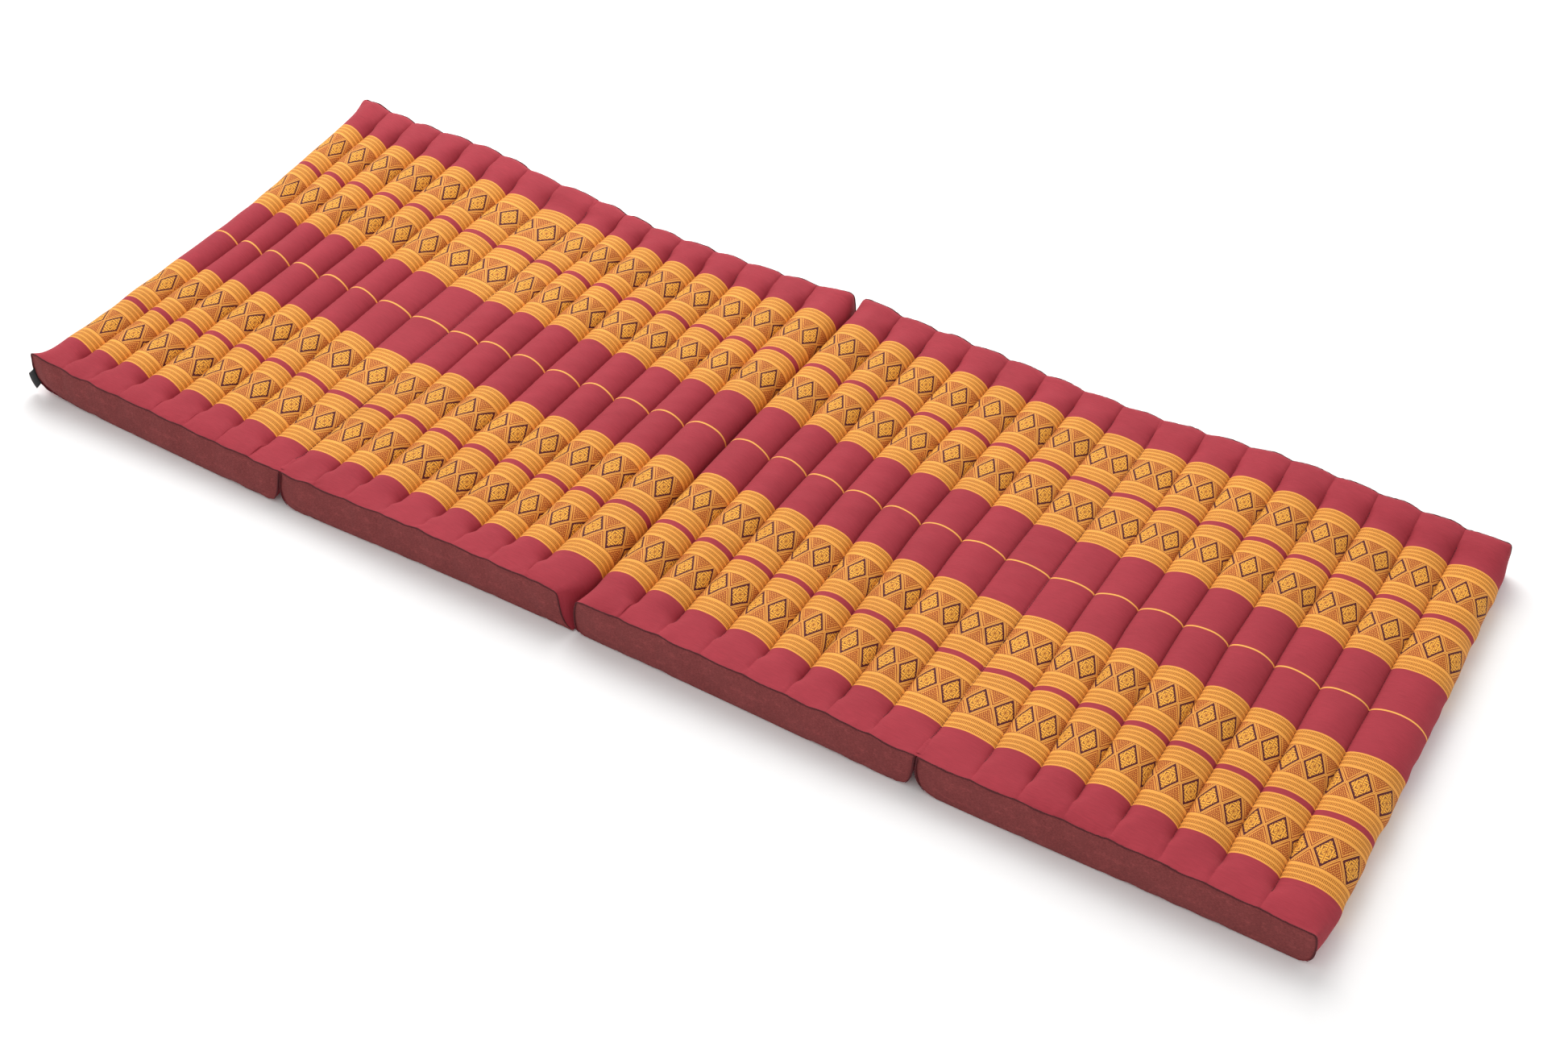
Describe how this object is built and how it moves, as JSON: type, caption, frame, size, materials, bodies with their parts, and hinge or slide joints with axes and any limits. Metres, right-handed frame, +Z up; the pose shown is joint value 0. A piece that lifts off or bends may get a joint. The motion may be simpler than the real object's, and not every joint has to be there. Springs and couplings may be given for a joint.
{
  "type": "futon mattress",
  "caption": "Fold-out floor mattress in a row of quilted, kapok-filled panels that fold zig-zag into a stack, with plain boxing strips, welted edges and a blank side tag.",
  "frame": {"origin": "on the floor, under the middle of the laid-out mattress with its side tag", "axes": "+X along the laid-out row of panels, from the tagged open end to the plain one; +Y across the panels, along the rolls; +Z up"},
  "size_m": [2.015, 0.8045, 0.068],
  "materials": {
    "patterned_cotton": "woven cotton, red with gold and orange bands",
    "base_cotton": "plain woven red cotton",
    "boxing_cotton": "plain woven maroon cotton",
    "welt_cotton": "folded dark maroon welt",
    "kapok": "loose kapok fibre",
    "woven_tag": "black woven ribbon, blank"
  },
  "bodies": {
    "panel_1": {"panel_1_top_cover": "patterned_cotton", "panel_1_base_cover": "base_cotton", "panel_1_kapok_roll_1": "kapok", "panel_1_kapok_roll_2": "kapok", "panel_1_kapok_roll_3": "kapok", "panel_1_kapok_roll_4": "kapok", "panel_1_kapok_roll_5": "kapok", "panel_1_kapok_roll_6": "kapok", "panel_1_kapok_roll_7": "kapok", "panel_1_kapok_roll_8": "kapok", "panel_1_boxing_near": "boxing_cotton", "panel_1_boxing_far": "boxing_cotton", "panel_1_welt_near": "welt_cotton", "panel_1_welt_far": "welt_cotton", "side_tag": "woven_tag"},
    "panel_2": {"panel_2_top_cover": "patterned_cotton", "panel_2_base_cover": "base_cotton", "panel_2_kapok_roll_1": "kapok", "panel_2_kapok_roll_2": "kapok", "panel_2_kapok_roll_3": "kapok", "panel_2_kapok_roll_4": "kapok", "panel_2_kapok_roll_5": "kapok", "panel_2_kapok_roll_6": "kapok", "panel_2_kapok_roll_7": "kapok", "panel_2_kapok_roll_8": "kapok", "panel_2_boxing_near": "boxing_cotton", "panel_2_boxing_far": "boxing_cotton", "panel_2_welt_near": "welt_cotton", "panel_2_welt_far": "welt_cotton", "fold_seam_1": "patterned_cotton", "fold_seam_2": "base_cotton"},
    "panel_3": {"panel_3_top_cover": "patterned_cotton", "panel_3_base_cover": "base_cotton", "panel_3_kapok_roll_1": "kapok", "panel_3_kapok_roll_2": "kapok", "panel_3_kapok_roll_3": "kapok", "panel_3_kapok_roll_4": "kapok", "panel_3_kapok_roll_5": "kapok", "panel_3_kapok_roll_6": "kapok", "panel_3_kapok_roll_7": "kapok", "panel_3_kapok_roll_8": "kapok", "panel_3_boxing_near": "boxing_cotton", "panel_3_boxing_far": "boxing_cotton", "panel_3_welt_near": "welt_cotton", "panel_3_welt_far": "welt_cotton", "fold_seam_3": "patterned_cotton"},
    "panel_4": {"panel_4_top_cover": "patterned_cotton", "panel_4_base_cover": "base_cotton", "panel_4_kapok_roll_1": "kapok", "panel_4_kapok_roll_2": "kapok", "panel_4_kapok_roll_3": "kapok", "panel_4_kapok_roll_4": "kapok", "panel_4_kapok_roll_5": "kapok", "panel_4_kapok_roll_6": "kapok", "panel_4_kapok_roll_7": "kapok", "panel_4_kapok_roll_8": "kapok", "panel_4_boxing_near": "boxing_cotton", "panel_4_boxing_far": "boxing_cotton", "panel_4_welt_near": "welt_cotton", "panel_4_welt_far": "welt_cotton"}
  },
  "joints": [
    {"name": "fold_1", "type": "hinge", "parent": "panel_2", "child": "panel_1", "pos_m": [-0.5205, 0, 0.0695], "axis": [0, 1, 0], "range_deg": [0, 180]},
    {"name": "fold_2", "type": "hinge", "parent": "panel_2", "child": "panel_3", "pos_m": [-0.0315, 0, -0.0006], "axis": [0, 1, 0], "range_deg": [0, 180]},
    {"name": "fold_3", "type": "hinge", "parent": "panel_3", "child": "panel_4", "pos_m": [0.4815, 0, 0.0695], "axis": [0, -1, 0], "range_deg": [0, 180]}
  ]
}
